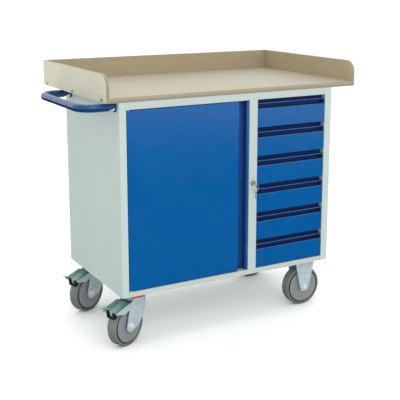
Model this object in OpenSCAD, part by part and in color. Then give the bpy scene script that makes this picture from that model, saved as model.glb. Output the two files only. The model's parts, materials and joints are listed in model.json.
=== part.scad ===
// Mobile workbench: sheet-metal cabinet with a hinged door and six drawers, a plywood worktop
// with a raised rim, a push handle and four casters. Millimetres, +Z up, standing on z = 0,
// with the origin at the middle of the whole object's footprint.

/* [Cabinet] */
// Width of the cabinet body
cab_w = 910; // [860:10:960]
// Depth of the cabinet body
cab_d = 518; // [500:2:560]
// Height of the cabinet body without casters and worktop
cab_h = 707; // [680:1:740]
// Thickness of the cabinet's sheet metal
sheet = 1.5; // [1.2:0.1:2]
// Width of the left front post
post_left_w = 26.5; // [24:0.5:30]
// Width of the right front post
post_right_w = 29.5; // [26:0.5:32]
// Width of the post between door and drawers
post_mid_w = 35.5; // [34:0.5:40]
// Depth of the posts behind their faces
post_depth = 28; // [26:1:32]
// Height of the top rail's face
rail_top_h = 26; // [22:1:30]
// Height of the bottom rail's face
rail_bottom_h = 19; // [17:1:24]
// Width of the opening for the door
door_opening_w = 503.5; // [480:0.5:510]

/* [Worktop] */
// Thickness of the plywood board
board_t = 18; // [15:1:25]
// Thickness of the plywood rim
rim_t = 12; // [9:1:15]
// Height of the rim above the board's surface
rim_h = 80; // [60:1:100]
// Radius of the side rims' front corners
rim_corner_r = 45; // [20:1:60]
// How far the worktop reaches past the cabinet on the left
over_left = 46; // [42:1:60]
// How far the worktop reaches past the cabinet on the right
over_right = 112; // [60:1:140]
// How far the worktop reaches past the cabinet at the back
over_back = 122; // [40:1:130]

/* [Handle] */
// Outer diameter of the handle tube
tube_d = 28; // [25:1:32]
// Wall of the handle tube
tube_wall = 2; // [1.5:0.5:3]
// How far the handle reaches out from the cabinet's side
handle_reach = 137; // [110:1:150]
// Bend radius of the handle tube's centre line
handle_bend_r = 58; // [45:1:70]

/* [Door] */
// Depth of the door shell
door_depth = 24; // [18:1:26]
// Gap between the door and its opening
door_gap = 3; // [2.5:0.5:4]
// Width of the upright grip recess
grip_w = 35; // [30:1:45]
// Width of the lip beside the grip recess
lip_w = 9; // [8:1:14]
// Radius of the hinge pins
hinge_pin_r = 3; // [2.5:0.5:4]

/* [Drawers] */
// Number of drawers in the stack
drawer_count = 6; // [6:1:6]
// Open gap above each drawer's top plate
drawer_gap = 14; // [10:1:16]
// Height of the finger recess in each drawer front
recess_h = 21; // [18:1:26]
// Depth of the finger recess
recess_d = 24; // [15:1:26]
// Height of the drawer boxes' sides
box_h = 72; // [50:1:76]
// Length of the drawer boxes from front to back
box_len = 460; // [400:5:470]

/* [Casters] */
// Distance from the floor to the cabinet's underside
caster_h = 200; // [200:1:200]
// Wheel diameter
wheel_d = 160; // [156:2:160]
// Width of the tyre
tyre_w = 42; // [36:1:44]
// Distance from the swivel axis to the wheel axle
trail = 52; // [48:1:54]
// Angle of the left swivel casters at rest
swivel_angle = 25; // [0:1:40]

/* [Hidden] */
$fn = 64;
eps = 0.01;

// Colours
grey_side = [0.72, 0.77, 0.75];
grey_front = [0.82, 0.86, 0.85];
blue = [0.0, 0.35, 0.65];
handle_blue = [0.08, 0.25, 0.5];
plywood = [0.78, 0.72, 0.6];
zinc = [0.72, 0.77, 0.78];
rubber_grey = [0.36, 0.39, 0.39];
core_grey = [0.49, 0.49, 0.5];
seal_red = [0.75, 0.1, 0.12];
black = [0.08, 0.08, 0.09];
steel = [0.7, 0.71, 0.72];

// Cabinet heights and front openings, measured from the cabinet's lower left front corner
cab_z = caster_h;
cab_top = cab_z + cab_h;
open_z0 = cab_z + rail_bottom_h;
open_z1 = cab_top - rail_top_h;
door_x0 = post_left_w;
door_x1 = door_x0 + door_opening_w;
bay_x0 = door_x1 + post_mid_w;
bay_x1 = cab_w - post_right_w;
inner_back = cab_d - sheet;
flange_w = 18;
base_t = 2.5;
base_top = cab_z + base_t;

// Worktop
top_x0 = -over_left;
top_x1 = cab_w + over_right;
top_y1 = cab_d + over_back;
board_top = cab_top + board_t;
rim_top = board_top + rim_h;
screw_z = cab_top + board_t / 2;
screw_r = 2;
screw_head_r = 4.5;
screw_head_t = 1.2;
screw_len = 38;
side_screw_y = [41, 322, 596];
back_screw_x = [40, 350, 660, 970];
board_screw_xy = [[47, 70], [cab_w - 20, 70], [47, 448], [cab_w - 20, 448]];
fit_gap = 0.05;

// Handle
handle_z = cab_top - tube_d / 2 - 3;
handle_y0 = 31;
handle_y1 = 461;
handle_end_x = -30;
tab_t = 5;
tab_w = 24;
tab_rise = 12;
tab_bolt_z = handle_z - 6;
bolt_r = 4;
bolt_head_r = 7.2;
bolt_head_h = 5.5;

// Door
front_inset = 2;
door_left = door_x0 + door_gap;
door_right = door_x1 - 2;
door_z0 = open_z0 + door_gap;
door_z1 = open_z1 - door_gap;
door_y0 = front_inset;
door_y1 = front_inset + door_depth;
pivot_x = door_left + 7;
pivot_y = door_y0 + 7;
recess_x0 = door_right - lip_w - grip_w;
recess_x1 = door_right - lip_w;
collar_t = 2.7;
collar_r = 6;

// Drawers
pitch = (open_z1 - open_z0) / drawer_count;
side_gap = 2;
front_x0 = bay_x0 + side_gap;
front_x1 = bay_x1 - side_gap;
grip_lip_h = 3;
upstand_h = 9;
runner_t = 1.2;
runner_h = 20;
runner_w = 11;
runner_y0 = 32;
runner_y1 = cab_d - 10;
slide_h = 14;
slide_gap = 1.2;
box_sheet = 1.2;
box_x0 = bay_x0 + 13.5;
box_x1 = bay_x1 - 13.5;
box_y0 = front_inset + recess_d;
box_y1 = box_y0 + box_len;
runner_drop = 62;
box_drop = 33;

// Lock in the middle post
lock_x = door_x1 + post_mid_w / 2;
lock_z = cab_z + 362.5;
bezel_r = 11;
barrel_r = 9;
plug_r = 7;
bow_y = -17;
bow_r = 9;
ring_y = -20.5;
ring_r = 13;
wire_r = 0.8;
key_hole_r = 4.2;
key_t = 2;
spare_bow_r = 8;
key_reach = spare_bow_r - ring_y;

// Casters
wheel_r = wheel_d / 2;
plate_l = 135;
plate_w = 110;
plate_t = 4;
hole_l = 105;
hole_w = 80;
left_x = 80;
right_x = cab_w - 73;
front_y = 77;
rear_y = cab_d - 58;
caster_xy = [[left_x, front_y], [left_x, rear_y], [right_x, front_y], [right_x, rear_y]];
leg_in = 27;
leg_t = 3.5;
leg_out = leg_in + leg_t;
axle_r = 6;
hub_r = 15;
core_r = 68;
groove_w = 3;
groove_d = 7;
plate_z = cab_z - plate_t;
kingpin_r = 10;
crown_r = 42;
seal_r = 47;
seal_z1 = 188.5;
bowl_r = 40;
crown_z0 = 169.5;
crown_z1 = 180.5;
skirt_z = 138;
pivot_d = 64;
pivot_z = 158;
stub_r = 4;
pedal_slope = 12;
pedal_t = 2.5;
tread_h = 8;
pedal_in = leg_out + 0.5;
pedal_out = pedal_in + pedal_t;

// Middle of the footprint
mid_x = (top_x1 + screw_head_t - handle_reach) / 2;
mid_y = (top_y1 + screw_head_t - key_reach) / 2;

// Points along an arc from angle a0 to a1 in steps
function arc(cx, cy, r, a0, a1, steps) =
    [for (i = [0:steps]) let (a = a0 + (a1 - a0) * i / steps) [cx + r * cos(a), cy + r * sin(a)]];

// Moves parts drawn from the cabinet's corner into the object's frame
module placed() {
    translate([-mid_x, -mid_y, 0]) children();
}

// Box between two corners
module block(a, b) {
    translate(a) cube(b - a);
}

// Cylinder along Y from y0 to y1
module rod_y(x, z, r, y0, y1) {
    translate([x, y0, z]) rotate([-90, 0, 0]) cylinder(r = r, h = y1 - y0);
}

// Cylinder along X from x0 to x1
module rod_x(y, z, r, x0, x1) {
    translate([x0, y, z]) rotate([0, 90, 0]) cylinder(r = r, h = x1 - x0);
}

// Cylinder along Z from z0 to z1
module rod_z(x, y, r, z0, z1) {
    translate([x, y, z0]) cylinder(r = r, h = z1 - z0);
}

// Extrudes an outline given in Y and Z along X
module along_x(x0, x1) {
    translate([x0, 0, 0]) rotate([90, 0, 90]) linear_extrude(x1 - x0) children();
}

/* ---- Worktop ---- */

module worktop_board() {
    color(plywood) placed() difference() {
        block([top_x0 + rim_t, 0, cab_top], [top_x1 - rim_t, top_y1 - rim_t, board_top]);
        for (p = board_screw_xy) {
            rod_z(p.x, p.y, screw_r, cab_top - 1, board_top + 1);
            rod_z(p.x, p.y, screw_head_r, board_top - screw_head_t, board_top + 1);
        }
        for (y = side_screw_y) {
            rod_x(y, screw_z, screw_r, top_x0, top_x0 + screw_len);
            rod_x(y, screw_z, screw_r, top_x1 - screw_len, top_x1);
        }
        for (x = back_screw_x) rod_y(x, screw_z, screw_r, top_y1 - screw_len, top_y1);
    }
}

// Side rim with its front corner rounded, standing from x0 to x0 + rim_t
module side_rim(x0) {
    outline = concat([[0, cab_top]], [[top_y1, cab_top], [top_y1, rim_top]],
        arc(rim_corner_r, rim_top - rim_corner_r, rim_corner_r, 90, 180, 16));
    difference() {
        along_x(x0, x0 + rim_t) polygon(outline);
        for (y = side_screw_y) rod_x(y, screw_z, screw_r, x0 - 1, x0 + rim_t + 1);
    }
}

module rim_left() {
    color(plywood) placed() side_rim(top_x0);
}

module rim_right() {
    color(plywood) placed() side_rim(top_x1 - rim_t);
}

module rim_back() {
    color(plywood) placed() difference() {
        block([top_x0 + rim_t, top_y1 - rim_t, cab_top], [top_x1 - rim_t, top_y1, rim_top]);
        for (x = back_screw_x) rod_y(x, screw_z, screw_r, top_y1 - rim_t - 1, top_y1 + 1);
    }
}

// Pan-head screw lying along +Z, its head's underside at z = 0
module screw(length) {
    translate([0, 0, -screw_head_t]) cylinder(r = screw_head_r, h = screw_head_t);
    translate([0, 0, -eps]) cylinder(r = screw_r - fit_gap, h = length + eps);
}

module rim_screws() {
    side_len = screw_len - 1;
    color(steel) placed() {
        for (y = side_screw_y) {
            translate([top_x0, y, screw_z]) rotate([0, 90, 0]) screw(side_len);
            translate([top_x1, y, screw_z]) rotate([0, -90, 0]) screw(side_len);
        }
        for (x = back_screw_x) translate([x, top_y1, screw_z]) rotate([90, 0, 0]) screw(side_len);
        for (p = board_screw_xy)
            translate([p.x, p.y, board_top - screw_head_t]) rotate([180, 0, 0])
                screw(board_t - screw_head_t);
    }
}

/* ---- Cabinet ---- */

module side_panel_left() {
    color(grey_side) placed() difference() {
        union() {
            block([0, 0, cab_z], [sheet, cab_d, cab_top]);
            block([0, 0, cab_z], [post_left_w, sheet, cab_top]);
            block([post_left_w - sheet, 0, base_top], [post_left_w, post_depth, cab_top - sheet]);
            block([0, inner_back, cab_z], [flange_w, cab_d, cab_top]);
            block([0, post_depth, cab_top - sheet], [flange_w, cab_d, cab_top]);
        }
        for (y = [handle_y0, handle_y1]) rod_x(y, tab_bolt_z, bolt_r, -1, sheet + 1);
    }
}

module side_panel_right() {
    color(grey_side) placed() {
        block([cab_w - sheet, 0, cab_z], [cab_w, cab_d, cab_top]);
        block([bay_x1, 0, cab_z], [cab_w, sheet, cab_top]);
        block([bay_x1, 0, base_top], [bay_x1 + sheet, inner_back, cab_top - sheet]);
        block([cab_w - flange_w, inner_back, cab_z], [cab_w, cab_d, cab_top]);
        block([cab_w - flange_w, post_depth, cab_top - sheet], [cab_w, cab_d, cab_top]);
    }
}

module back_panel() {
    color(grey_side) placed()
        block([flange_w, inner_back, cab_z], [cab_w - flange_w, cab_d, cab_top]);
}

module base_panel() {
    color(grey_side) placed() difference() {
        block([sheet, sheet, cab_z], [cab_w - sheet, inner_back, base_top]);
        for (p = caster_xy, sx = [-1, 1], sy = [-1, 1])
            rod_z(p.x + sx * hole_l / 2, p.y + sy * hole_w / 2, bolt_r, cab_z - 1, base_top + 1);
    }
}

module top_rail() {
    color(grey_front) placed() difference() {
        union() {
            block([door_x0, 0, open_z1], [bay_x1, sheet, cab_top]);
            block([door_x0, 0, open_z1], [bay_x1, post_depth, open_z1 + sheet]);
            block([door_x0, 0, cab_top - sheet], [bay_x1, post_depth, cab_top]);
        }
        rod_z(pivot_x, pivot_y, hinge_pin_r + fit_gap, open_z1 - 1, open_z1 + sheet + 1);
    }
}

module bottom_rail() {
    color(grey_front) placed() difference() {
        union() {
            block([door_x0, 0, cab_z], [bay_x1, sheet, open_z0]);
            block([door_x0, 0, open_z0 - sheet], [bay_x1, post_depth, open_z0]);
        }
        rod_z(pivot_x, pivot_y, hinge_pin_r + fit_gap, open_z0 - sheet - 1, open_z0 + 1);
    }
}

module centre_post() {
    color(grey_front) placed() difference() {
        union() {
            block([door_x1, 0, open_z0], [bay_x0, sheet, open_z1]);
            block([door_x1, 0, open_z0], [door_x1 + sheet, post_depth, open_z1]);
            block([bay_x0 - sheet, 0, open_z0], [bay_x0, post_depth, open_z1]);
        }
        rod_y(lock_x, lock_z, barrel_r + fit_gap, -1, sheet + 1);
    }
}

module partition_wall() {
    color(grey_side) placed()
        block([bay_x0 - sheet, post_depth, base_top], [bay_x0, inner_back, cab_top - sheet]);
}

module shelf() {
    shelf_z = cab_z + 330;
    lip = 20;
    x0 = sheet;
    x1 = bay_x0 - sheet;
    y0 = post_depth + 4;
    y1 = inner_back;
    color(grey_side) placed() {
        block([x0, y0, shelf_z - sheet], [x1, y1, shelf_z]);
        block([x0, y0, shelf_z - lip], [x1, y0 + sheet, shelf_z]);
        for (x = [x0, x1 - sheet]) block([x, y0, shelf_z - lip], [x + sheet, y1, shelf_z]);
    }
}

// Height of the middle of drawer i's runners, i = 0 at the top
function runner_z(i) = open_z1 - i * pitch - runner_drop;

// One channel with its web at x = 0 and its open side towards +X
module runner() {
    block([0, runner_y0, -runner_h / 2], [runner_t, runner_y1, runner_h / 2]);
    block([0, runner_y0, runner_h / 2 - runner_t], [runner_w, runner_y1, runner_h / 2]);
    block([0, runner_y0, -runner_h / 2], [runner_w, runner_y1, runner_t - runner_h / 2]);
}

module runner_rails() {
    color(zinc) placed() for (i = [0:drawer_count - 1]) {
        translate([bay_x0, 0, runner_z(i)]) runner();
        translate([bay_x1, 0, runner_z(i)]) mirror([1, 0, 0]) runner();
    }
}

/* ---- Handle and bolts ---- */

// Straight handle arm along X at depth y with its end pressed flat and turned down
module handle_arm(y) {
    bend_x = -handle_reach + tube_d / 2 + handle_bend_r;
    difference() {
        rod_x(y, handle_z, tube_d / 2, bend_x, handle_end_x);
        rod_x(y, handle_z, tube_d / 2 - tube_wall, bend_x - 1, handle_end_x - 2);
    }
    hull() {
        translate([handle_end_x - 1, y, handle_z]) rotate([0, 90, 0])
            cylinder(r = tube_d / 2, h = 1, $fn = 32);
        block([-tab_t, y - tab_w / 2, handle_z + 2], [-eps, y + tab_w / 2, handle_z + tab_rise]);
    }
    difference() {
        union() {
            block([-tab_t, y - tab_w / 2, tab_bolt_z],
                [-eps, y + tab_w / 2, handle_z + tab_rise]);
            rod_x(y, tab_bolt_z, tab_w / 2, -tab_t, -eps);
        }
        rod_x(y, tab_bolt_z, bolt_r, -tab_t - 1, 1);
    }
}

// Quarter bend of the handle tube about the vertical, joining -Y and the arm
module handle_bend() {
    rotate_extrude(angle = 90) translate([handle_bend_r, 0]) difference() {
        circle(r = tube_d / 2);
        circle(r = tube_d / 2 - tube_wall);
    }
}

module push_handle() {
    bend_x = -handle_reach + tube_d / 2 + handle_bend_r;
    cross_x = -handle_reach + tube_d / 2;
    color(handle_blue) placed() difference() {
        union() {
            handle_arm(handle_y0);
            handle_arm(handle_y1);
            difference() {
                rod_y(cross_x, handle_z, tube_d / 2, handle_y0 + handle_bend_r,
                    handle_y1 - handle_bend_r);
                rod_y(cross_x, handle_z, tube_d / 2 - tube_wall, handle_y0, handle_y1);
            }
            translate([bend_x, handle_y0 + handle_bend_r, handle_z]) rotate([0, 0, 180])
                handle_bend();
            translate([bend_x, handle_y1 - handle_bend_r, handle_z]) rotate([0, 0, 90])
                handle_bend();
        }
        for (y = [handle_y0, handle_y1])
            rod_x(y, tab_bolt_z, bolt_head_r + 1, handle_end_x - 1, -tab_t);
    }
}

// Hexagon bolt with its nut, head's underside at z = 0, pointing along +Z through a grip
module hex_bolt(grip) {
    nut_h = 6.5;
    translate([0, 0, -bolt_head_h]) cylinder(r = bolt_head_r, h = bolt_head_h, $fn = 6);
    translate([0, 0, -eps]) cylinder(r = bolt_r - fit_gap, h = grip + nut_h + 2);
    translate([0, 0, grip]) cylinder(r = bolt_head_r, h = nut_h, $fn = 6);
}

module frame_bolts() {
    color(steel) placed() {
        for (y = [handle_y0, handle_y1])
            translate([-tab_t, y, tab_bolt_z]) rotate([0, 90, 0]) hex_bolt(tab_t + sheet);
        for (p = caster_xy, sx = [-1, 1], sy = [-1, 1])
            translate([p.x + sx * hole_l / 2, p.y + sy * hole_w / 2, plate_z])
                hex_bolt(plate_t + base_t);
    }
}

/* ---- Door ---- */

module door_panel() {
    hook_y = door_y0 + 8;
    color(blue) placed() difference() {
        union() {
            block([door_left, door_y0, door_z0], [recess_x0, door_y0 + sheet, door_z1]);
            block([door_left, door_y0, door_z0], [door_left + sheet, door_y1, door_z1]);
            block([recess_x0 - sheet, door_y0, door_z0], [recess_x0, door_y1, door_z1]);
            block([recess_x0 - sheet, door_y1 - sheet, door_z0],
                [recess_x1 + sheet, door_y1, door_z1]);
            block([recess_x1, door_y0, door_z0], [recess_x1 + sheet, door_y1, door_z1]);
            block([recess_x1, door_y0, door_z0], [door_right, door_y0 + sheet, door_z1]);
            block([door_right - sheet, door_y0, door_z0], [door_right, hook_y, door_z1]);
            for (z = [door_z0, door_z1 - sheet])
                block([door_left, door_y0, z], [recess_x0, door_y1, z + sheet]);
        }
        rod_z(pivot_x, pivot_y, hinge_pin_r + fit_gap, door_z0 - 1, door_z1 + 1);
    }
}

module door_hinge_pins() {
    pin_run = 7;
    color(steel) placed() {
        rod_z(pivot_x, pivot_y, hinge_pin_r, open_z0 - pin_run, door_z0 + pin_run);
        rod_z(pivot_x, pivot_y, collar_r, open_z0, open_z0 + collar_t);
        rod_z(pivot_x, pivot_y, hinge_pin_r, door_z1 - pin_run, open_z1 + pin_run);
        rod_z(pivot_x, pivot_y, collar_r, open_z1 - collar_t, open_z1);
    }
}

/* ---- Drawers ---- */

// Folded front of drawer i: face, ledge, recess wall, upstand, top plate, lip and end plates
module drawer_front(i) {
    top = open_z1 - i * pitch;
    y0 = front_inset;
    y1 = y0 + recess_d;
    plate_z1 = top - drawer_gap;
    face_z1 = plate_z1 - recess_h;
    face_z0 = top - pitch + 2;
    bend_r = 2.5;
    in_r = bend_r - sheet;
    outline = concat(
        [[y1, face_z0]],
        arc(y0 + bend_r, face_z0 + bend_r, bend_r, 270, 180, 4),
        arc(y0 + bend_r, face_z1 - bend_r, bend_r, 180, 90, 4),
        [[y1 - sheet, face_z1], [y1 - sheet, plate_z1 - sheet]],
        [[y0 + sheet, plate_z1 - sheet], [y0 + sheet, plate_z1 - grip_lip_h],
            [y0, plate_z1 - grip_lip_h]],
        arc(y0 + bend_r, plate_z1 - bend_r, bend_r, 180, 90, 4),
        [[y1 - sheet, plate_z1], [y1 - sheet, plate_z1 + upstand_h],
            [y1, plate_z1 + upstand_h], [y1, face_z1 - sheet]],
        arc(y0 + bend_r, face_z1 - bend_r, in_r, 90, 180, 4),
        arc(y0 + bend_r, face_z0 + bend_r, in_r, 180, 270, 4),
        [[y1, face_z0 + sheet]]);
    color(blue) placed() {
        along_x(front_x0, front_x1) polygon(outline);
        for (x = [front_x0, front_x1 - sheet])
            block([x, y0 + sheet, face_z0 + sheet / 2], [x + sheet, y1, plate_z1 - sheet / 2]);
    }
}

// Tray of drawer i with its slide bars
module drawer_box(i) {
    top = open_z1 - i * pitch - box_drop;
    floor_z = top - box_h;
    bar_x0 = bay_x0 + runner_t + slide_gap;
    bar_x1 = bay_x1 - runner_t - slide_gap;
    z = runner_z(i);
    color(zinc) placed() {
        block([box_x0, box_y0, floor_z], [box_x1, box_y1, floor_z + box_sheet]);
        for (y = [box_y0, box_y1 - box_sheet])
            block([box_x0, y, floor_z], [box_x1, y + box_sheet, top]);
        for (x = [box_x0, box_x1 - box_sheet])
            block([x, box_y0, floor_z], [x + box_sheet, box_y1, top]);
        block([bar_x0, box_y0 + 6, z - slide_h / 2], [box_x0 + eps, box_y1, z + slide_h / 2]);
        block([box_x1 - eps, box_y0 + 6, z - slide_h / 2], [bar_x1, box_y1, z + slide_h / 2]);
    }
}

/* ---- Lock and keys ---- */

module lock_barrel() {
    color(steel) placed() difference() {
        union() {
            rod_y(lock_x, lock_z, bezel_r, -2, 0);
            rod_y(lock_x, lock_z, barrel_r, -eps, 22);
        }
        rod_y(lock_x, lock_z, plug_r + fit_gap, -3, 23);
    }
}

module lock_plug() {
    slot_w = key_t + 0.2;
    color(steel) placed() difference() {
        union() {
            rod_y(lock_x, lock_z, plug_r, -2.4, 24);
            block([lock_x - 4, 22.4, lock_z - 5], [lock_x + 4, 24.9, lock_z + 15]);
        }
        block([lock_x - slot_w / 2, -3, lock_z - 4.5], [lock_x + slot_w / 2, 19, lock_z + 4.5]);
    }
}

// Flat key standing in the Y-Z plane: round bow with a hole, and a blade
module flat_key(bow, radius, hole, blade_a, blade_b) {
    difference() {
        union() {
            rod_x(bow.x, bow.y, radius, lock_x - key_t / 2, lock_x + key_t / 2);
            translate([lock_x - key_t / 2, 0, 0]) block([0, blade_a.x, blade_a.y],
                [key_t, blade_b.x, blade_b.y]);
        }
        rod_x(hole.x, hole.y, key_hole_r, lock_x - key_t, lock_x + key_t);
    }
}

module key() {
    color(steel) placed()
        flat_key([bow_y, lock_z], bow_r, [ring_y, lock_z], [bow_y + 6, lock_z - 4],
            [18, lock_z + 4]);
}

module key_ring() {
    color(steel) placed() translate([lock_x, ring_y, lock_z - ring_r]) rotate([90, 0, 0])
        rotate_extrude() translate([ring_r, 0]) circle(r = wire_r, $fn = 24);
}

module spare_key() {
    hang_z = lock_z - 2 * ring_r;
    bow_drop = 3;
    blade_len = 20;
    color(steel) placed()
        flat_key([ring_y, hang_z - bow_drop], spare_bow_r, [ring_y, hang_z],
            [ring_y - 3.5, hang_z - bow_drop - spare_bow_r - blade_len],
            [ring_y + 3.5, hang_z - bow_drop - 6]);
}

/* ---- Wheels: drawn with the axle along Y through the origin ---- */

module tyre_shape() {
    half = tyre_w / 2;
    crown = 8;
    shoulder = wheel_r - crown;
    outline = concat([[core_r, -half + groove_d], [core_r + groove_w, -half + 1]],
        arc(shoulder, -half + crown, crown, 270, 360, 8),
        arc(shoulder, half - crown, crown, 0, 90, 8),
        [[core_r + groove_w, half - 1], [core_r, half - groove_d]]);
    rotate([90, 0, 0]) rotate_extrude($fn = 96) polygon(outline);
}

module core_shape() {
    half = tyre_w / 2;
    hub_half = leg_in - 0.5;
    edge = core_r - groove_w;
    face = half - 1;
    outline = [[axle_r + fit_gap, -hub_half], [hub_r, -hub_half], [hub_r, -face],
        [edge, -face], [edge, groove_d - half], [core_r, groove_d - half],
        [core_r, half - groove_d], [edge, half - groove_d], [edge, face],
        [hub_r, face], [hub_r, hub_half], [axle_r + fit_gap, hub_half]];
    rotate([90, 0, 0]) rotate_extrude($fn = 96) polygon(outline);
}

module axle_shape() {
    head_h = 6;
    rod_y(0, 0, axle_r, -leg_out - head_h, leg_out + head_h);
    for (y = [-leg_out - head_h, leg_out])
        translate([0, y, 0]) rotate([-90, 0, 0]) cylinder(r = 10, h = head_h, $fn = 6);
}

/* ---- Fixed casters ---- */

// Tapered leg of a fixed caster, standing in the X-Z plane at y, with raised edges
module fixed_leg(y, side) {
    top_w = 45;
    eye_z = wheel_r;
    outline = [[-top_w, plate_z], [-top_w, plate_z - 8], [-20, eye_z - 8], [-13, eye_z - 19],
        [13, eye_z - 19], [20, eye_z - 8], [top_w, plate_z - 8], [top_w, plate_z]];
    rib = [[-top_w, plate_z], [-top_w, plate_z - 8], [-20, eye_z - 8], [-15, eye_z - 8],
        [-34, plate_z - 8], [-34, plate_z]];
    difference() {
        union() {
            translate([0, y + leg_t, 0]) rotate([90, 0, 0]) linear_extrude(leg_t)
                polygon(outline);
            for (s = [-1, 1]) scale([s, 1, 1])
                translate([0, y + leg_t + (side < 0 ? -leg_t : 2.5), 0]) rotate([90, 0, 0])
                    linear_extrude(2.5) polygon(rib);
        }
        rod_y(0, eye_z, axle_r + fit_gap, y - leg_t, y + 2 * leg_t);
    }
}

// Plate with four bolt holes, centred under the cabinet
module caster_plate() {
    difference() {
        block([-plate_l / 2, -plate_w / 2, plate_z], [plate_l / 2, plate_w / 2, cab_z]);
        for (sx = [-1, 1], sy = [-1, 1])
            rod_z(sx * hole_l / 2, sy * hole_w / 2, bolt_r, plate_z - 1, cab_z + 1);
    }
}

module fixed_housing_shape() {
    web_w = 45;
    caster_plate();
    block([-web_w, -leg_out, plate_z - 4], [web_w, leg_out, plate_z + eps]);
    fixed_leg(-leg_out, -1);
    fixed_leg(leg_in, 1);
}

module fixed_at(p) {
    placed() translate([p.x, p.y, 0]) children();
}

module fixed_housing(p) {
    color(zinc) fixed_at(p) fixed_housing_shape();
}

module fixed_axle(p) {
    color(steel) fixed_at(p) translate([0, 0, wheel_r]) axle_shape();
}

module fixed_tyre(p) {
    color(rubber_grey) fixed_at(p) translate([0, 0, wheel_r]) tyre_shape();
}

module fixed_core(p) {
    color(core_grey) fixed_at(p) translate([0, 0, wheel_r]) core_shape();
}

/* ---- Swivel casters: drawn with the swivel axis on Z and the wheel trailing along +X ---- */

module swivel_at(p) {
    placed() translate([p.x, p.y, 0]) rotate([0, 0, 180 + swivel_angle]) children();
}

module swivel_plate(p) {
    head_r = 14;
    head_z = crown_z0 - 6;
    color(zinc) placed() translate([p.x, p.y, 0]) {
        caster_plate();
        rod_z(0, 0, bowl_r, seal_z1, plate_z + eps);
        rod_z(0, 0, kingpin_r, head_z, plate_z + eps);
        rod_z(0, 0, head_r, head_z, crown_z0 - 0.5);
    }
}

module swivel_seal(p) {
    color(seal_red) placed() translate([p.x, p.y, 0]) difference() {
        rod_z(0, 0, seal_r, crown_z1 + 0.5, seal_z1);
        rod_z(0, 0, kingpin_r + 8, crown_z1, seal_z1 + 1);
    }
}

// One leg of the swivel fork in the X-Z plane from y0 to y0 + leg_t
module swivel_leg(y0) {
    eye_r = 24;
    outline = concat([[-28, crown_z1 - 2], [-28, skirt_z], [-20, 108], [-2, 84], [16, 66]],
        arc(trail, wheel_r, eye_r, 235, 350, 10),
        [[68, 104], [60, 138], [73, 148], [74, 160], [68, 164], [50, 165], [44, 168],
            [36, crown_z1 - 2]]);
    difference() {
        translate([0, y0 + leg_t, 0]) rotate([90, 0, 0]) linear_extrude(leg_t) polygon(outline);
        rod_y(trail, wheel_r, axle_r + fit_gap, y0 - 1, y0 + leg_t + 1);
        rod_y(pivot_d, pivot_z, stub_r + fit_gap, y0 - 1, y0 + leg_t + 1);
    }
}

module swivel_fork(p) {
    skirt_t = 3;
    color(zinc) swivel_at(p) {
        difference() {
            union() {
                rod_z(0, 0, crown_r, crown_z0, crown_z1);
                difference() {
                    rod_z(0, 0, crown_r, skirt_z, crown_z0 + 1);
                    rod_z(0, 0, crown_r - skirt_t, skirt_z - 1, crown_z0 + 2);
                    block([eps - 28, -crown_r - 1, skirt_z - 1],
                        [crown_r + 1, crown_r + 1, crown_z0 + 2]);
                }
            }
            rod_z(0, 0, kingpin_r + fit_gap, crown_z0 - 1, crown_z1 + 1);
        }
        swivel_leg(leg_in);
        swivel_leg(-leg_out);
    }
}

module swivel_axle(p) {
    color(steel) swivel_at(p) translate([trail, 0, wheel_r]) axle_shape();
}

module swivel_tyre(p) {
    color(rubber_grey) swivel_at(p) translate([trail, 0, wheel_r]) tyre_shape();
}

module swivel_core(p) {
    color(core_grey) swivel_at(p) translate([trail, 0, wheel_r]) core_shape();
}

// Places the brake's parts, drawn from the pivot with the tread level, at their resting slope
module brake_at(p) {
    swivel_at(p) translate([pivot_d, 0, pivot_z]) rotate([0, pedal_slope, 0]) children();
}

// Side flange of the brake pedal from y0 to y0 + pedal_t
module pedal_flange(y0) {
    top = tread_h + pedal_t;
    outline = [[-8, top], [72, top], [72, 3], [30, -17], [8, -14], [-8, -4]];
    translate([0, y0 + pedal_t, 0]) rotate([90, 0, 0]) linear_extrude(pedal_t) polygon(outline);
}

// Release lever bent up from the tread's outer edge
module pedal_lever() {
    tip = [88, 25];
    width = 12;
    outer_y = -17;
    translate([0, outer_y, 0]) rotate([90, 0, 0]) linear_extrude(width)
        polygon([[56, tread_h], [tip.x, tip.y - 1], [tip.x, tip.y + 1],
            [52, tread_h + pedal_t]]);
}

module swivel_pedal(p) {
    z1 = tread_h + pedal_t;
    tread = [[-8, -pedal_out], [56, -pedal_out], [72, pedal_in - 4], [72, pedal_out],
        [-8, pedal_out]];
    ridge = [[2, -26], [50, -26], [62, 24], [2, 24]];
    field = [[5, -23], [48, -23], [58, 21], [5, 21]];
    step = 0.8;
    pad_r = 9;
    dimple_r = 2;
    color(zinc) brake_at(p) {
        translate([0, 0, tread_h]) linear_extrude(pedal_t) polygon(tread);
        translate([0, 0, z1 - eps]) linear_extrude(step) difference() {
            polygon(ridge);
            polygon(field);
        }
        rod_z(24, 0, pad_r, z1 - eps, z1 + step);
        pedal_lever();
        pedal_flange(pedal_in);
        pedal_flange(-pedal_out);
        block([62, -8, -13], [64, 8, tread_h + eps]);
        for (side = [-1, 1]) scale([1, side, 1]) difference() {
            rod_y(0, 0, stub_r, leg_in - 0.5, pedal_out + 1.5);
            rod_y(0, 0, dimple_r, pedal_out, pedal_out + 2);
        }
    }
}

// Rubber-faced clip round the pedal's brake tongue, open at the top
module swivel_block(p) {
    half = 17;
    wall = 6;
    x0 = 60;
    x1 = 73;
    z0 = -19;
    color(black) brake_at(p) difference() {
        block([x0, -half, z0], [x1, half, tread_h]);
        block([x0 - 1, wall - half, z0 + wall], [x1 + 1, half - wall, tread_h + 1]);
    }
}

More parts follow.
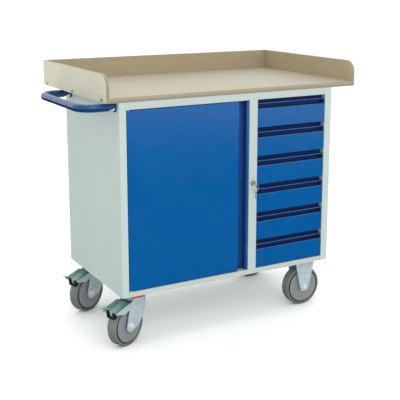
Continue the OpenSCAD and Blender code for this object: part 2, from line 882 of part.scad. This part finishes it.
worktop_board();
rim_left();
rim_back();
rim_right();
rim_screws();
side_panel_left();
side_panel_right();
back_panel();
base_panel();
top_rail();
bottom_rail();
centre_post();
partition_wall();
shelf();
runner_rails();
push_handle();
frame_bolts();
door_panel();
door_hinge_pins();
drawer_front(0);  // drawer_1_front
drawer_front(1);  // drawer_2_front
drawer_front(2);  // drawer_3_front
drawer_front(3);  // drawer_4_front
drawer_front(4);  // drawer_5_front
drawer_front(5);  // drawer_6_front
drawer_box(0);  // drawer_1_box
drawer_box(1);  // drawer_2_box
drawer_box(2);  // drawer_3_box
drawer_box(3);  // drawer_4_box
drawer_box(4);  // drawer_5_box
drawer_box(5);  // drawer_6_box
lock_barrel();
lock_plug();
key();
key_ring();
spare_key();
fixed_housing([right_x, front_y]);  // fixed_front_housing
fixed_axle([right_x, front_y]);  // fixed_front_axle
fixed_tyre([right_x, front_y]);  // fixed_front_tyre
fixed_core([right_x, front_y]);  // fixed_front_core
fixed_housing([right_x, rear_y]);  // fixed_rear_housing
fixed_axle([right_x, rear_y]);  // fixed_rear_axle
fixed_tyre([right_x, rear_y]);  // fixed_rear_tyre
fixed_core([right_x, rear_y]);  // fixed_rear_core
swivel_plate([left_x, front_y]);  // swivel_front_plate
swivel_seal([left_x, front_y]);  // swivel_front_seal
swivel_fork([left_x, front_y]);  // swivel_front_fork
swivel_axle([left_x, front_y]);  // swivel_front_axle
swivel_tyre([left_x, front_y]);  // swivel_front_tyre
swivel_core([left_x, front_y]);  // swivel_front_core
swivel_pedal([left_x, front_y]);  // swivel_front_pedal
swivel_block([left_x, front_y]);  // swivel_front_block
swivel_plate([left_x, rear_y]);  // swivel_rear_plate
swivel_seal([left_x, rear_y]);  // swivel_rear_seal
swivel_fork([left_x, rear_y]);  // swivel_rear_fork
swivel_axle([left_x, rear_y]);  // swivel_rear_axle
swivel_tyre([left_x, rear_y]);  // swivel_rear_tyre
swivel_core([left_x, rear_y]);  // swivel_rear_core
swivel_pedal([left_x, rear_y]);  // swivel_rear_pedal
swivel_block([left_x, rear_y]);  // swivel_rear_block
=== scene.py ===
import json
import math

import bmesh
import bpy
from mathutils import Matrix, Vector


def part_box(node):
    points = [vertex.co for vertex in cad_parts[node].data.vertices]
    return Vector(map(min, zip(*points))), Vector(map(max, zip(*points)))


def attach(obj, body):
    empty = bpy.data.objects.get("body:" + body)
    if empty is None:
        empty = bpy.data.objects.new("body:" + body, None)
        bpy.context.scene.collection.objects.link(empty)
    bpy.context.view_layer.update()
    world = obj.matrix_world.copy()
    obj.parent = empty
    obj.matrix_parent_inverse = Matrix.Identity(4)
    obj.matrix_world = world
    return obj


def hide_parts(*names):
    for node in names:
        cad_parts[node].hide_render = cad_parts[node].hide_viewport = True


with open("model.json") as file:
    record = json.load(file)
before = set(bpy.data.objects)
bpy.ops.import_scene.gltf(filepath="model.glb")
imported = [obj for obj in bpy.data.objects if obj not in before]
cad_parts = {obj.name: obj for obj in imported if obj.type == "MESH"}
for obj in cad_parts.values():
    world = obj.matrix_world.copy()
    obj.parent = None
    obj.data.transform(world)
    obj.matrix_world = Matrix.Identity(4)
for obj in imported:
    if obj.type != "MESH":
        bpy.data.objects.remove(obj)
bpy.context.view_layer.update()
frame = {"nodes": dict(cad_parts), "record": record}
record = frame["record"]
slot_of = {part["node"]: part["material_slot"] for part in record["subparts"]}
body_of = {n: body for body, members in record["behaviour"]["bodies"].items() for n in members}

MM = 0.001

# ---------------------------------------------------------------- shader helpers


class Shader:
    """A Principled material whose nodes are added one after another."""

    def __init__(self, name):
        self.material = bpy.data.materials.new(name)
        self.material.use_nodes = True
        self.tree = self.material.node_tree
        self.main = self.tree.nodes["Principled BSDF"]
        self.object_coords = self.add("ShaderNodeTexCoord").outputs["Object"]

    def add(self, kind, **settings):
        item = self.tree.nodes.new(kind)
        for key, value in settings.items():
            setattr(item, key, value)
        return item

    def feed(self, source, socket):
        """Links a socket, or sets a constant, on another socket."""
        if isinstance(source, bpy.types.NodeSocket):
            self.tree.links.new(source, socket)
        else:
            socket.default_value = source

    def set(self, **values):
        for key, value in values.items():
            self.feed(value, self.main.inputs[key.replace("_", " ")])

    def mapped(self, scale):
        """Object coordinates in metres, stretched by scale on each axis."""
        item = self.add("ShaderNodeMapping")
        self.feed(self.object_coords, item.inputs["Vector"])
        item.inputs["Scale"].default_value = scale
        return item.outputs["Vector"]

    def noise(self, scale, detail=3.0, roughness=0.5, vector=None, distortion=0.0):
        item = self.add("ShaderNodeTexNoise")
        self.feed(vector or self.object_coords, item.inputs["Vector"])
        for key, value in (("Scale", scale), ("Detail", detail), ("Roughness", roughness),
                           ("Distortion", distortion)):
            item.inputs[key].default_value = value
        return item.outputs["Fac"]

    def spread(self, fac, low, high, from_low=0.3, from_high=0.7):
        """Maps a factor to the range low to high, clamped."""
        item = self.add("ShaderNodeMapRange")
        for key, value in (("Value", fac), ("From Min", from_low), ("From Max", from_high),
                           ("To Min", low), ("To Max", high)):
            self.feed(value, item.inputs[key])
        return item.outputs["Result"]

    def layer(self, tint, mask, tone, amount=1.0, start=0.3, full=0.7):
        """Lays a tone over the tint where the mask rises from start to full, up to amount."""
        return self.blend(self.spread(mask, 0.0, amount, start, full), tint, tone)

    def hollow(self, distance, closed, clear):
        """1 inside folds and grooves, 0 on open faces: the mask where shade is painted in.

        closed and clear are the shares of open sky, seen out to distance, at those ends."""
        item = self.add("ShaderNodeAmbientOcclusion", samples=8)
        item.inputs["Distance"].default_value = distance
        return self.spread(item.outputs["AO"], 1.0, 0.0, closed, clear)

    def math(self, operation, a, b=0.0):
        item = self.add("ShaderNodeMath", operation=operation)
        self.feed(a, item.inputs[0])
        self.feed(b, item.inputs[1])
        return item.outputs["Value"]

    def blend(self, fac, first, second, mode="MIX"):
        item = self.add("ShaderNodeMix", data_type="RGBA", blend_type=mode)
        self.feed(fac, item.inputs["Factor"])
        for value, socket in ((first, item.inputs["A"]), (second, item.inputs["B"])):
            if not isinstance(value, bpy.types.NodeSocket):
                value = (*value[:3], 1.0)
            self.feed(value, [s for s in item.inputs if s.name == socket.name and s.type == "RGBA"][0])
        return [s for s in item.outputs if s.type == "RGBA"][0]

    def bump(self, height, distance, strength=1.0, after=None):
        item = self.add("ShaderNodeBump")
        item.inputs["Strength"].default_value = strength
        item.inputs["Distance"].default_value = distance
        self.feed(height, item.inputs["Height"])
        if after is not None:
            self.feed(after, item.inputs["Normal"])
        return item.outputs["Normal"]

    def axis(self, vector, name):
        item = self.add("ShaderNodeSeparateXYZ")
        self.feed(vector, item.inputs["Vector"])
        return item.outputs[name]

    def normal(self, name):
        """Size of one component of the surface normal, in the object's own axes."""
        coords = self.add("ShaderNodeTexCoord").outputs["Normal"]
        return self.math("ABSOLUTE", self.axis(coords, name))


def srgb(r, g, b):
    """Linear colour from 0-255 display values."""
    return tuple(((c / 255 + 0.055) / 1.055) ** 2.4 if c > 10 else c / 255 / 12.92
                 for c in (r, g, b))


def shaded(color, factor):
    return tuple(min(1.0, c * factor) for c in color)


# ---------------------------------------------------------------- materials


def powder_coat(name, color, roughness, grain=0.25 * MM, specular=0.5, recess_shade=None):
    """Baked powder coat: fine orange peel, faint clouding, handling marks and rubbed edges.

    The colour for recesses, when given, is painted shade: it darkens the paint in folds, gaps and
    finger recesses and turns its reflection down there."""
    s = Shader(name)
    clouding = s.noise(scale=5.0, detail=4.0, roughness=0.6)
    tint = s.layer(shaded(color, 0.98), clouding, shaded(color, 1.02))
    handling = s.noise(scale=26.0, detail=8.0, roughness=0.75,
                       vector=s.mapped((1.0, 1.0, 0.35)), distortion=0.6)
    tint = s.layer(tint, handling, shaded(color, 0.6), amount=0.04, start=0.58, full=0.8)
    edges = s.add("ShaderNodeNewGeometry").outputs["Pointiness"]
    patches = s.noise(scale=90.0, detail=6.0, roughness=0.7)
    rubbed = s.math("MULTIPLY", s.spread(edges, 0.0, 1.0, from_low=0.53, from_high=0.62),
                    s.spread(patches, 0.0, 0.175, from_low=0.45, from_high=0.75))
    tint = s.blend(rubbed, tint, shaded(color, 1.6))
    # Painted shade: folds, gaps and finger recesses take the darker colour and lose most of their
    # reflection.
    if recess_shade:
        depth = s.hollow(distance=40 * MM, closed=0.50, clear=0.78)
        tint = s.blend(depth, tint, recess_shade)
        specular = s.spread(depth, specular, 0.05, from_low=0.0, from_high=1.0)
    peel = s.noise(scale=900.0, detail=2.0)
    waves = s.noise(scale=160.0, detail=2.0)
    polish = s.noise(scale=14.0, detail=6.0, roughness=0.65)
    rough = s.math("ADD", s.spread(polish, -0.03, 0.04), roughness)
    s.set(Base_Color=tint, Roughness=rough, Specular_IOR_Level=specular,
          Normal=s.bump(peel, grain, 0.35, s.bump(waves, grain * 1.5, 0.25)))
    return s.material


PLY = 1.5 * MM
EDGE_BROWN = (0.165, 0.118, 0.06)
LATE_WOOD = (0.62, 0.58, 0.5)


def ply_edge(s, thickness_axis, face, low, edge_light):
    """The stacked plies that show on a board's edges, and the relief of their end grain."""
    depth = s.math("SUBTRACT", s.axis(s.object_coords, thickness_axis), low)
    uneven = s.math("SUBTRACT", s.noise(scale=60.0, detail=2.0), 0.5)
    wavy_depth = s.math("ADD", depth, s.math("MULTIPLY", uneven, 0.5 * MM))
    plies = s.math("DIVIDE", wavy_depth, PLY)
    crossed = s.math("MODULO", s.math("FLOOR", plies), 2.0)
    glue = s.spread(s.math("FRACT", plies), 0.6, 0.0, from_low=0.0, from_high=0.16)
    end_grain = s.noise(scale=420.0, detail=4.0, roughness=0.7)
    pale = s.layer(shaded(face, 0.5 * edge_light), depth, shaded(face, 0.88 * edge_light),
                   start=5 * MM, full=12 * MM)
    tint = s.blend(crossed, pale, shaded(EDGE_BROWN, edge_light))
    tint = s.layer(tint, end_grain, shaded(face, 0.5 * edge_light), amount=0.35)
    return s.blend(glue, tint, shaded(face, 0.30 * edge_light)), end_grain


def plywood(name, thickness_axis, grain_axis, face, low, inner=None, inner_sign=1.0,
            edge_light=1.0):
    """Lacquered birch plywood: long grain on the faces and stacked plies on the edges.

    low is where the plies start along thickness_axis. inner is the tone of the face on the
    side of the worktop, which lies towards inner_sign on that axis. edge_light lightens the
    plies."""
    s = Shader(name)
    along, across = 1.6, 22.0
    stretch = {"X": (along, across, across), "Y": (across, along, across)}[grain_axis]
    grain_at = s.mapped(stretch)
    growth = s.noise(scale=1.1, vector=grain_at, distortion=1.6)
    ring_count = 9.0
    rings = s.math("FRACT", s.math("MULTIPLY", growth, ring_count))
    band = s.spread(s.math("ABSOLUTE", s.math("SUBTRACT", rings, 0.5)), 0.0, 0.22,
                    from_low=0.1, from_high=0.5)
    fibre = s.noise(scale=9.0, detail=8.0, roughness=0.7, vector=grain_at)
    pores = s.noise(scale=55.0, detail=2.0, vector=grain_at)
    tone = s.layer(shaded(face, 0.96), s.noise(scale=2.3, detail=2.0), shaded(face, 1.04))
    if inner:
        facing = s.axis(s.add("ShaderNodeTexCoord").outputs["Normal"], thickness_axis)
        tone = s.layer(tone, s.math("MULTIPLY", facing, inner_sign), inner)
    tone = s.blend(band, tone, s.blend(1.0, tone, LATE_WOOD, "MULTIPLY"))
    tone = s.layer(tone, fibre, shaded(face, 0.80), amount=0.30, start=0.35, full=0.75)
    tone = s.layer(tone, pores, shaded(face, 0.55), amount=0.35, start=0.66, full=0.78)
    edge, end_grain = ply_edge(s, thickness_axis, face, low, edge_light)
    on_edge = s.spread(s.normal(thickness_axis), 1.0, 0.0, from_low=0.4, from_high=0.6)
    stain = s.noise(scale=7.0, detail=6.0, roughness=0.7, distortion=0.8)
    color = s.layer(s.blend(on_edge, tone, edge), stain, shaded(face, 0.6), amount=0.10,
                    start=0.55, full=0.75)
    rough = s.math("ADD", s.spread(fibre, 0.40, 0.52), s.math("MULTIPLY", on_edge, 0.15))
    relief = s.math("MULTIPLY", s.math("ADD", fibre, pores), 0.5)
    s.set(Base_Color=color, Roughness=rough, Coat_Weight=0.12, Coat_Roughness=0.3,
          Normal=s.bump(relief, 0.12 * MM, 0.5, s.bump(end_grain, 0.08 * MM, 0.3)))
    return s.material


def zinc(name, color, roughness=0.3, spangle=True, metal=0.85, tread=None, ridge=None):
    """Passivated or galvanised steel: clouded tint, faint spangle, stamping scuffs.

    tread is the scuffed tone of the faces that point up. ridge is the direction across a pedal
    and its middle along that direction, where the tread is painted lighter as a highlight on its
    raised ridge."""
    s = Shader(name)
    clouding = s.noise(scale=22.0, detail=4.0, roughness=0.6, distortion=0.5)
    tint = s.layer(shaded(color, 0.94), clouding, shaded(color, 1.05))
    tint = s.layer(tint, s.noise(scale=9.0), shaded(color, 0.8), amount=0.12, start=0.45)
    if tread:
        scuffed = s.noise(scale=60.0, detail=5.0, roughness=0.7)
        scuffed_tread_and_highlight = s.layer(tread, scuffed, shaded(tread, 1.4), amount=0.8)
        # Painted highlight: a lighter strip along the raised middle of the pedal tread.
        if ridge:
            direction, middle = ridge
            place = s.add("ShaderNodeVectorMath", operation="DOT_PRODUCT")
            s.feed(s.object_coords, place.inputs[0])
            s.feed(direction, place.inputs[1])
            away = s.math("ABSOLUTE", s.math("SUBTRACT", place.outputs["Value"], middle))
            ridge_highlight_mask = s.spread(away, 1.0, 0.0, from_low=10 * MM, from_high=13 * MM)
            scuffed_tread_and_highlight = s.blend(ridge_highlight_mask, scuffed_tread_and_highlight, shaded(tread, 2.0))
        tint = s.layer(tint, s.normal("Z"), scuffed_tread_and_highlight, start=0.55, full=0.85)
    polish = s.noise(scale=70.0, detail=6.0, roughness=0.7)
    rough = s.spread(polish, roughness - 0.04, roughness + 0.06)
    if spangle:
        cells = s.add("ShaderNodeTexVoronoi", feature="F1")
        s.feed(s.object_coords, cells.inputs["Vector"])
        cells.inputs["Scale"].default_value = 160.0
        crystal = s.axis(cells.outputs["Color"], "X")
        tint = s.layer(tint, crystal, shaded(color, 0.6), amount=0.18, start=0.0, full=1.0)
        rough = s.math("ADD", rough, s.spread(crystal, -0.04, 0.05, from_low=0.0, from_high=1.0))
    scuffs = s.noise(scale=300.0, roughness=0.6, vector=s.mapped((1.0, 1.0, 0.12)))
    s.set(Base_Color=tint, Roughness=rough, Metallic=metal,
          Normal=s.bump(scuffs, 0.02 * MM, 0.12))
    return s.material


DUST = (0.52, 0.50, 0.46)


def moulded(name, color, roughness, dust, grain=0.2 * MM, groove=False):
    """Moulded plastic or rubber: fine texture, slight tone change, settled dust.

    With groove set, shade is painted in: the narrow groove between tyre and core and other tight gaps,
    such as where the tyre meets the floor, are darkened."""
    s = Shader(name)
    clouding = s.noise(scale=18.0, detail=5.0, roughness=0.6)
    tint = s.layer(shaded(color, 0.94), clouding, shaded(color, 1.06))
    specks = s.noise(scale=130.0, detail=8.0, roughness=0.8)
    tint = s.layer(tint, specks, DUST, amount=dust, start=0.5, full=0.75)
    smear = s.noise(scale=24.0, detail=6.0, roughness=0.7, distortion=1.2)
    tint = s.layer(tint, smear, shaded(color, 0.55), amount=0.6 * dust, start=0.55, full=0.8)
    # Painted shade: the groove between tyre and core, and other tight gaps such as where the tyre
    # meets the floor, are darkened.
    if groove:
        tint = s.blend(s.hollow(distance=8 * MM, closed=0.45, clear=0.75), tint,
                       shaded(color, 0.15))
    rough = s.spread(s.noise(scale=40.0, detail=5.0), roughness - 0.06, roughness + 0.08)
    s.set(Base_Color=tint, Roughness=rough,
          Normal=s.bump(s.noise(scale=1400.0, detail=2.0), grain, 0.3))
    return s.material


BLUE = srgb(0, 81, 143)
# Painted shade: the darker navy laid into the folds and finger recesses of the blue fronts.
BLUE_RECESS_SHADE = srgb(36, 54, 106)
HANDLE_BLUE = srgb(0, 56, 104)
GREY_SIDE = srgb(176, 190, 186)
GREY_FRONT = srgb(173, 184, 182)
BRIGHT_ZINC = srgb(226, 230, 232)
DULL_ZINC = srgb(150, 156, 158)
BLUE_ZINC = srgb(196, 213, 219)
PEDAL_ZINC = srgb(184, 201, 205)
PEDAL_TREAD = srgb(80, 110, 102)
NICKEL = srgb(196, 196, 192)
DARK_STEEL = srgb(84, 78, 70)
TYRE_GREY = srgb(100, 107, 107)
CORE_GREY = srgb(128, 131, 133)
RED = srgb(205, 30, 36)
BLACK = srgb(14, 14, 16)
BIRCH = srgb(160, 153, 135)
RIM_OUTER = srgb(198, 196, 176)
RIM_INNER = srgb(160, 144, 112)
FINE_GRAIN = 0.02 * MM

slot_materials = {
    "steel_fasteners": zinc("bright_zinc_steel", BRIGHT_ZINC, spangle=False, metal=0.2),
    "grey_panels": powder_coat("light_grey_powder", GREY_SIDE, 0.46, specular=0.25),
    "grey_front_frame": powder_coat("pale_grey_powder", GREY_FRONT, 0.46, specular=0.25),
    "zinc_runners": zinc("galvanised_sheet", DULL_ZINC, 0.34),
    "handle_blue": powder_coat("handle_gloss_blue", HANDLE_BLUE, 0.16, grain=FINE_GRAIN,
                               specular=0.45),
    "front_blue": powder_coat("satin_blue_powder", BLUE, 0.13, grain=FINE_GRAIN,
                              recess_shade=BLUE_RECESS_SHADE),
    "lock_metal": zinc("nickel_plate", NICKEL, 0.2, spangle=False, metal=0.7),
    "zinc_caster": zinc("blue_passivated_zinc", BLUE_ZINC, 0.28, spangle=False, metal=0.3),
    "tyre_grey": moulded("grey_tyre_rubber", TYRE_GREY, 0.5, grain=0.25 * MM, dust=0.2,
                         groove=True),
    "wheel_core": moulded("grey_wheel_core", CORE_GREY, 0.48, grain=0.15 * MM, dust=0.1,
                          groove=True),
    "red_seal": moulded("red_seal_plastic", RED, 0.35, grain=0.1 * MM, dust=0.05),
    "black_plastic": moulded("black_brake_plastic", BLACK, 0.5, dust=0.08),
}


def rim_wood(node, thickness_axis, grain_axis, inner_sign):
    """Plywood of a rim board, whose inner face lies towards inner_sign."""
    start = getattr(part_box(node)[0], thickness_axis.lower())
    return plywood(node + "_plywood", thickness_axis, grain_axis, RIM_OUTER, start, RIM_INNER,
                   inner_sign)


def pedal_material(caster):
    """Zinc with a scuffed tread and a painted highlight along its ridge, which runs midway between the
    ends of the wheel's axle.
    """
    low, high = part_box(caster + "_axle")
    across = Vector((high.x - low.x, low.y - high.y, 0.0)).normalized()
    middle = ((low + high) / 2).dot(across)
    return zinc(caster + "_pedal_zinc", PEDAL_ZINC, 0.32, spangle=False, metal=0.25,
                tread=PEDAL_TREAD, ridge=(across, middle))


SWIVEL_CASTERS = ("swivel_front", "swivel_rear")

node_materials = {
    "worktop_board": plywood("board_plywood", "Z", "X", BIRCH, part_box("worktop_board")[0].z,
                             edge_light=1.45),
    "rim_left": rim_wood("rim_left", "X", "Y", 1.0),
    "rim_right": rim_wood("rim_right", "X", "Y", -1.0),
    "rim_back": rim_wood("rim_back", "Y", "X", -1.0),
    "rim_screws": zinc("dark_screw_steel", DARK_STEEL, 0.35, spangle=False, metal=0.8),
}
for caster in SWIVEL_CASTERS:
    node_materials[caster + "_pedal"] = pedal_material(caster)


def material_of(node):
    return node_materials.get(node) or slot_materials[slot_of[node]]


def paint(obj, material):
    obj.data.materials.clear()
    obj.data.materials.append(material)


# ---------------------------------------------------------------- rounded copies of CAD nodes

SHARP = math.radians(30)
COPLANAR = math.radians(0.6)
SAME_POINT = 0.01 * MM


def rounded(node, width):
    """A copy of a CAD node with its edges eased, standing for that node."""
    mesh = frame["nodes"][node].data.copy()
    mesh.name = node + "_eased"
    bm = bmesh.new()
    bm.from_mesh(mesh)
    bmesh.ops.remove_doubles(bm, verts=bm.verts, dist=SAME_POINT)
    bmesh.ops.dissolve_limit(bm, angle_limit=COPLANAR, verts=bm.verts, edges=bm.edges)
    bm.to_mesh(mesh)
    bm.free()
    obj = bpy.data.objects.new(node + "_eased", mesh)
    bpy.context.scene.collection.objects.link(obj)
    mesh.shade_smooth()
    bevel = obj.modifiers.new("eased edges", "BEVEL")
    bevel.width = width
    bevel.segments = 2
    bevel.limit_method = "ANGLE"
    bevel.angle_limit = SHARP
    bevel.use_clamp_overlap = True
    normals = obj.modifiers.new("flat faces", "WEIGHTED_NORMAL")
    normals.keep_sharp = True
    normals.weight = 100
    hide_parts(node)
    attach(obj, body_of[node])
    paint(obj, material_of(node))
    return obj


EASED = {  # bevel width in millimetres
    "worktop_board": 1.2, "rim_left": 2.0, "rim_right": 2.0, "rim_back": 2.0,
    "side_panel_left": 0.7, "side_panel_right": 0.7, "back_panel": 0.5,
    "top_rail": 0.7, "bottom_rail": 0.7, "centre_post": 0.7, "door_panel": 0.7,
    "lock_barrel": 0.4, "lock_plug": 0.3, "key": 0.35, "spare_key": 0.35,
    "fixed_front_housing": 0.8, "fixed_rear_housing": 0.8,
}
for number in range(1, 7):
    EASED[f"drawer_{number}_front"] = 0.5
for caster in SWIVEL_CASTERS:
    EASED.update({caster + "_fork": 0.9, caster + "_pedal": 0.8, caster + "_block": 1.0,
                  caster + "_plate": 0.6})

for cad_node, eased_mm in EASED.items():
    rounded(cad_node, eased_mm * MM)
for cad_node, cad_object in frame["nodes"].items():
    if cad_node not in EASED:
        paint(cad_object, material_of(cad_node))

# ---------------------------------------------------------------- floor, light and camera

scene = bpy.context.scene
WORLD = 1.08
WHITE = (1.0, 1.0, 1.0, 1.0)


def floor():
    """White studio floor that takes the shadows and fades into the white behind it."""
    size = 30.0
    mesh = bpy.data.meshes.new("floor")
    mesh.from_pydata([(-size, -size, 0), (size, -size, 0), (size, size, 0), (-size, size, 0)],
                     [], [(0, 1, 2, 3)])
    obj = bpy.data.objects.new("floor", mesh)
    scene.collection.objects.link(obj)
    s = Shader("studio_floor")
    paper = s.layer(shaded(WHITE, 0.95), s.noise(scale=1.5), shaded(WHITE, 0.97))
    s.set(Base_Color=paper, Roughness=0.9, Specular_IOR_Level=0.1, Emission_Color=WHITE,
          Emission_Strength=0.045)
    paint(obj, s.material)
    obj.visible_glossy = False


def area_light(name, at, target, size, watts):
    """A rectangular light at a place, turned towards the target."""
    data = bpy.data.lights.new(name, "AREA")
    data.shape = "RECTANGLE"
    data.size, data.size_y = size
    data.energy = watts
    obj = bpy.data.objects.new(name, data)
    obj.location = at
    obj.rotation_euler = (Vector(target) - Vector(at)).to_track_quat("-Z", "Y").to_euler()
    scene.collection.objects.link(obj)


def studio():
    """White all round; reflections fade to a dark studio floor below the horizon."""
    world = bpy.data.worlds.new("studio")
    world.use_nodes = True
    tree = world.node_tree
    background = tree.nodes["Background"]
    direction = tree.nodes.new("ShaderNodeSeparateXYZ")
    tree.links.new(tree.nodes.new("ShaderNodeTexCoord").outputs["Generated"],
                   direction.inputs["Vector"])
    fade = tree.nodes.new("ShaderNodeMapRange")
    fade.interpolation_type = "SMOOTHSTEP"
    dark_below, light_above, reflected = -0.21, -0.10, 1.2
    for key, value in (("From Min", dark_below), ("From Max", light_above), ("To Min", 0.0),
                       ("To Max", reflected)):
        fade.inputs[key].default_value = value
    tree.links.new(direction.outputs["Z"], fade.inputs["Value"])
    choose = tree.nodes.new("ShaderNodeMix")
    choose.data_type = "FLOAT"
    tree.links.new(tree.nodes.new("ShaderNodeLightPath").outputs["Is Glossy Ray"],
                   choose.inputs[0])
    choose.inputs[2].default_value = 1.0
    tree.links.new(fade.outputs["Result"], choose.inputs[3])
    strength = tree.nodes.new("ShaderNodeMath")
    strength.operation = "MULTIPLY"
    strength.inputs[1].default_value = WORLD
    tree.links.new(choose.outputs[0], strength.inputs[0])
    tree.links.new(strength.outputs["Value"], background.inputs["Strength"])
    background.inputs["Color"].default_value = WHITE
    scene.world = world
    world.cycles.sampling_method = "NONE"
    middle = (0, 0, 0.5)
    area_light("key", at=(-1.2, -4.0, 3.2), target=middle, size=(3.0, 2.0), watts=50)
    area_light("top", at=(0.3, 0.2, 4.2), target=middle, size=(4.0, 3.0), watts=40)


def camera():
    """A long lens in front and to the left of the object, tilted down a little."""
    data = bpy.data.cameras.new("camera")
    data.sensor_width = 36.0
    data.lens = 75.38
    data.shift_y = -0.12
    data.clip_end = 60
    obj = bpy.data.objects.new("camera", data)
    obj.location = (-1.5841, -2.91335, 1.314)
    yaw = math.radians(29.22)
    pitch = math.radians(11.51)
    obj.rotation_euler = (math.pi / 2 - pitch, 0, -yaw)
    scene.collection.objects.link(obj)
    scene.camera = obj


floor()
studio()
camera()
scene.view_settings.view_transform = "Standard"
